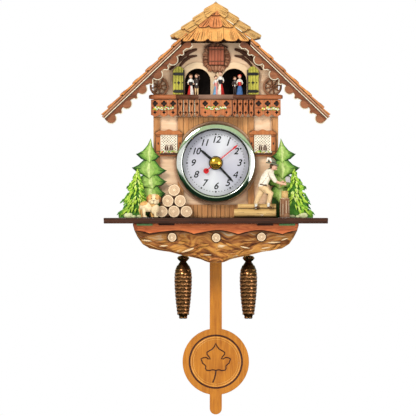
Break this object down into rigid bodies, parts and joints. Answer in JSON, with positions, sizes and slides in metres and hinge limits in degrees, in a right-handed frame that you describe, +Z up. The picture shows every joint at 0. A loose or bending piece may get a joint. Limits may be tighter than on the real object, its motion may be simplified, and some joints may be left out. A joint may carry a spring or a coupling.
{
  "type": "pendulum wall clock",
  "caption": "Carved chalet wall clock with a shingled roof, balcony, round push-in dial, hanging cones and a swinging disc pendulum.",
  "frame": {"origin": "top of the hanging slot, on the back board's rear face, where the wall nail bears", "axes": "+Z up; +X to the right of a viewer facing the clock; -Y out of the wall, towards the viewer"},
  "size_m": [0.2186, 0.08, 0.3978],
  "materials": {
    "oak": "satin varnish",
    "pale_wood": "satin varnish",
    "dark_wood": "satin stain",
    "shingle_wood": "satin varnish",
    "black_brown_wood": "satin stain",
    "fir_green": "matt paint",
    "leaf_green": "matt paint",
    "ochre_paint": "matt paint",
    "painted_carving": "matt paint",
    "log_wood": "matt",
    "bronze_plastic": "gloss bronze coat",
    "pendulum_wood": "satin varnish",
    "chrome": "polished",
    "brass": "polished",
    "steel": "plain",
    "silver_dial": "satin",
    "clear_glass": "clear",
    "black_plastic": "matt",
    "black_metal": "gloss paint",
    "red_metal": "gloss paint",
    "copper_wire": "enamelled winding"
  },
  "bodies": {
    "case": {"back_board": "oak", "left_side_wall": "oak", "right_side_wall": "oak", "left_roof_board": "oak", "right_roof_board": "oak", "left_window": "oak", "right_window": "oak", "timber_frame": "oak", "balcony_front": "oak", "balcony_rail": "oak", "balcony_floor": "oak", "carved_base": "oak", "cuckoo_door": "oak", "facade_panel": "pale_wood", "gable_panel": "pale_wood", "left_shingles": "shingle_wood", "right_shingles": "shingle_wood", "half_hip_roof": "shingle_wood", "left_bargeboard": "dark_wood", "right_bargeboard": "dark_wood", "left_cart_wheel": "dark_wood", "right_cart_wheel": "dark_wood", "door_surround": "dark_wood", "chopping_block": "dark_wood", "shelf_board": "black_brown_wood", "left_fir_tree": "fir_green", "right_fir_tree": "fir_green", "left_sapling": "leaf_green", "right_sapling": "leaf_green", "left_shutter": "ochre_paint", "right_shutter": "ochre_paint", "dog": "painted_carving", "woodcutter": "painted_carving", "left_dancers": "painted_carving", "middle_dancers": "painted_carving", "right_dancers": "painted_carving", "log_pile": "log_wood", "felled_logs": "log_wood", "bezel": "chrome", "pivot_pin": "steel", "left_cone_hook": "steel", "right_cone_hook": "steel", "button_cell": "steel", "drive_battery": "steel", "dial": "silver_dial", "crystal": "clear_glass", "insert_cup": "black_plastic", "movement": "black_plastic", "drive_housing": "black_plastic", "drive_coil": "copper_wire"},
    "pendulum": {"pendulum_board": "pendulum_wood", "swing_arm": "black_plastic"},
    "minute_hand": {"minute_hand": "black_metal"},
    "hour_hand": {"hour_hand": "black_metal"},
    "second_hand": {"second_hand": "red_metal", "centre_cap": "brass"},
    "setting_knob": {"setting_knob": "black_plastic"},
    "cell_cover": {"cell_cover": "black_plastic"},
    "left_cone": {"left_pine_cone": "bronze_plastic"},
    "right_cone": {"right_pine_cone": "bronze_plastic"}
  },
  "joints": [
    {"name": "pendulum_swing", "type": "hinge", "parent": "case", "child": "pendulum", "pos_m": [0, -0.018, -0.127], "axis": [0, 1, 0], "range_deg": [-10, 10]},
    {"name": "minute_turn", "type": "hinge", "parent": "case", "child": "minute_hand", "pos_m": [0, -0.0563, -0.11], "axis": [0, 1, 0], "continuous": true},
    {"name": "hour_turn", "type": "hinge", "parent": "case", "child": "hour_hand", "pos_m": [0, -0.0552, -0.11], "axis": [0, 1, 0], "continuous": true},
    {"name": "second_turn", "type": "hinge", "parent": "case", "child": "second_hand", "pos_m": [0, -0.0574, -0.11], "axis": [0, 1, 0], "continuous": true},
    {"name": "knob_turn", "type": "hinge", "parent": "case", "child": "setting_knob", "pos_m": [0.01, -0.025, -0.104], "axis": [0, 1, 0], "continuous": true},
    {"name": "cell_cover_turn", "type": "hinge", "parent": "case", "child": "cell_cover", "pos_m": [-0.015, -0.0287, -0.1], "axis": [0, 1, 0], "range_deg": [0, 45]},
    {"name": "left_cone_swing", "type": "hinge", "parent": "case", "child": "left_cone", "pos_m": [-0.0314, -0.036, -0.1915], "axis": [0, 1, 0], "range_deg": [-8, 8]},
    {"name": "right_cone_swing", "type": "hinge", "parent": "case", "child": "right_cone", "pos_m": [0.0314, -0.036, -0.1915], "axis": [0, 1, 0], "range_deg": [-8, 8]}
  ],
  "couplings": [
    {"joint": "hour_turn", "follows": "minute_turn", "ratio": 0.083333},
    {"joint": "second_turn", "follows": "minute_turn", "ratio": 60},
    {"joint": "knob_turn", "follows": "minute_turn", "ratio": 1}
  ]
}
